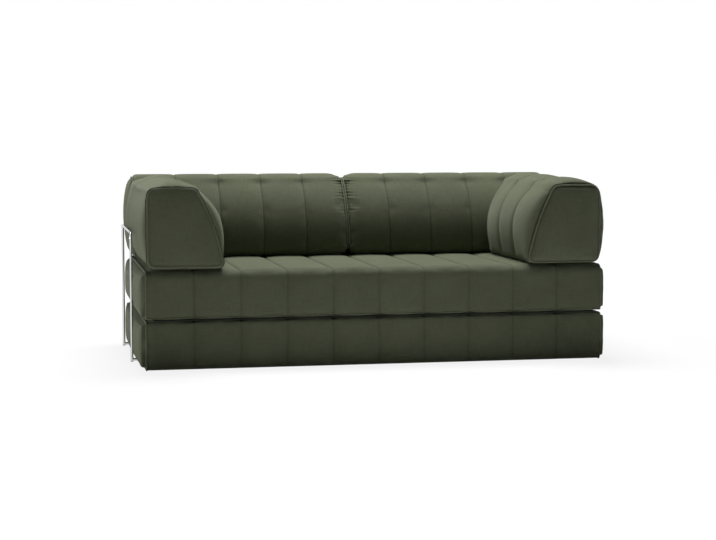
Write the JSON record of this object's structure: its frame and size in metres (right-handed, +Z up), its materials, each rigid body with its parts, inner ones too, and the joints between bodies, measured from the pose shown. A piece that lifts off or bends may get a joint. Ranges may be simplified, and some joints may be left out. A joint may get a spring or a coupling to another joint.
{
  "type": "sofa bed",
  "caption": "Fold-out sofa bed of channelled foam leaves with loose wedge arm and back cushions inside a chrome tube gallery.",
  "frame": {"origin": "centre of the footprint on the floor", "axes": "+X to the right seen from the front, -Y towards the sitter's feet (the front), +Z up"},
  "size_m": [2.096, 1.0192, 0.8063],
  "materials": {
    "olive_cloth": "matte, fine short-pile upholstery cloth",
    "foam": "open-cell cushion foam",
    "piping_cloth": "matte, the cover's cloth folded into a flat piped edge",
    "hinge_cloth": "matte, strong woven tape",
    "base_cloth": "matte non-slip dotted cloth",
    "zip_tape": "matte woven tape with a moulded coil",
    "zip_slider": "dark nickel",
    "chrome_tube": "polished chrome plate",
    "screw": "blackened steel",
    "glide": "moulded, matte"
  },
  "bodies": {
    "base": {"lower_cover": "olive_cloth", "lower_core": "foam", "base_cloth": "base_cloth", "lower_zip": "zip_tape", "hinge_cloth_lower": "hinge_cloth", "rail_left": "chrome_tube", "rail_right": "chrome_tube", "rail_joiner": "chrome_tube", "joiner_screws": "screw", "rear_leg_left": "chrome_tube", "rear_leg_right": "chrome_tube", "rear_post_left": "chrome_tube", "rear_post_right": "chrome_tube", "front_stretcher": "chrome_tube", "rear_stretcher": "chrome_tube", "glides": "glide"},
    "upper_leaf": {"upper_cover": "olive_cloth", "upper_core": "foam", "upper_zip": "zip_tape", "hinge_cloth_upper": "hinge_cloth"},
    "arm_left": {"arm_left_cover": "olive_cloth", "arm_left_core": "foam", "arm_left_piping": "piping_cloth", "arm_left_zip": "zip_tape"},
    "arm_right": {"arm_right_cover": "olive_cloth", "arm_right_core": "foam", "arm_right_piping": "piping_cloth", "arm_right_zip": "zip_tape"},
    "back_left": {"back_left_cover": "olive_cloth", "back_left_core": "foam", "back_left_piping": "piping_cloth", "back_left_zip": "zip_tape"},
    "back_right": {"back_right_cover": "olive_cloth", "back_right_core": "foam", "back_right_piping": "piping_cloth", "back_right_zip": "zip_tape"},
    "lower_slider": {"lower_zip_slider": "zip_slider"},
    "upper_slider": {"upper_zip_slider": "zip_slider"},
    "arm_left_slider": {"arm_left_zip_slider": "zip_slider"},
    "arm_right_slider": {"arm_right_zip_slider": "zip_slider"},
    "back_left_slider": {"back_left_zip_slider": "zip_slider"},
    "back_right_slider": {"back_right_zip_slider": "zip_slider"}
  },
  "joints": [
    {"name": "leaf_fold", "type": "hinge", "parent": "base", "child": "upper_leaf", "pos_m": [0, -0.50965, 0.214], "axis": [1, 0, 0], "range_deg": [0, 180]},
    {"name": "arm_left_carry", "type": "hinge", "parent": "upper_leaf", "child": "arm_left", "pos_m": [0, 0.49565, 0.428], "axis": [1, 0, 0], "range_deg": [-180, 0]},
    {"name": "arm_right_carry", "type": "hinge", "parent": "upper_leaf", "child": "arm_right", "pos_m": [0, 0.49565, 0.428], "axis": [1, 0, 0], "range_deg": [-180, 0]},
    {"name": "back_left_carry", "type": "hinge", "parent": "upper_leaf", "child": "back_left", "pos_m": [0, 0.49565, 0.428], "axis": [1, 0, 0], "range_deg": [-180, 0]},
    {"name": "back_right_carry", "type": "hinge", "parent": "upper_leaf", "child": "back_right", "pos_m": [0, 0.49565, 0.428], "axis": [1, 0, 0], "range_deg": [-180, 0]},
    {"name": "lower_zip_slide", "type": "slide", "parent": "base", "child": "lower_slider", "axis": [1, 0, 0], "range_m": [0, 1.75]},
    {"name": "upper_zip_slide", "type": "slide", "parent": "upper_leaf", "child": "upper_slider", "axis": [1, 0, 0], "range_m": [0, 1.75]},
    {"name": "arm_left_zip_slide", "type": "slide", "parent": "arm_left", "child": "arm_left_slider", "axis": [0, 1, 0], "range_m": [0, 0.405]},
    {"name": "arm_right_zip_slide", "type": "slide", "parent": "arm_right", "child": "arm_right_slider", "axis": [0, 1, 0], "range_m": [0, 0.405]},
    {"name": "back_left_zip_slide", "type": "slide", "parent": "back_left", "child": "back_left_slider", "axis": [-1, 0, 0], "range_m": [0, 0.675]},
    {"name": "back_right_zip_slide", "type": "slide", "parent": "back_right", "child": "back_right_slider", "axis": [1, 0, 0], "range_m": [0, 0.675]}
  ],
  "couplings": [
    {"joint": "arm_left_carry", "follows": "leaf_fold", "ratio": -1},
    {"joint": "arm_right_carry", "follows": "leaf_fold", "ratio": -1},
    {"joint": "back_left_carry", "follows": "leaf_fold", "ratio": -1},
    {"joint": "back_right_carry", "follows": "leaf_fold", "ratio": -1}
  ]
}
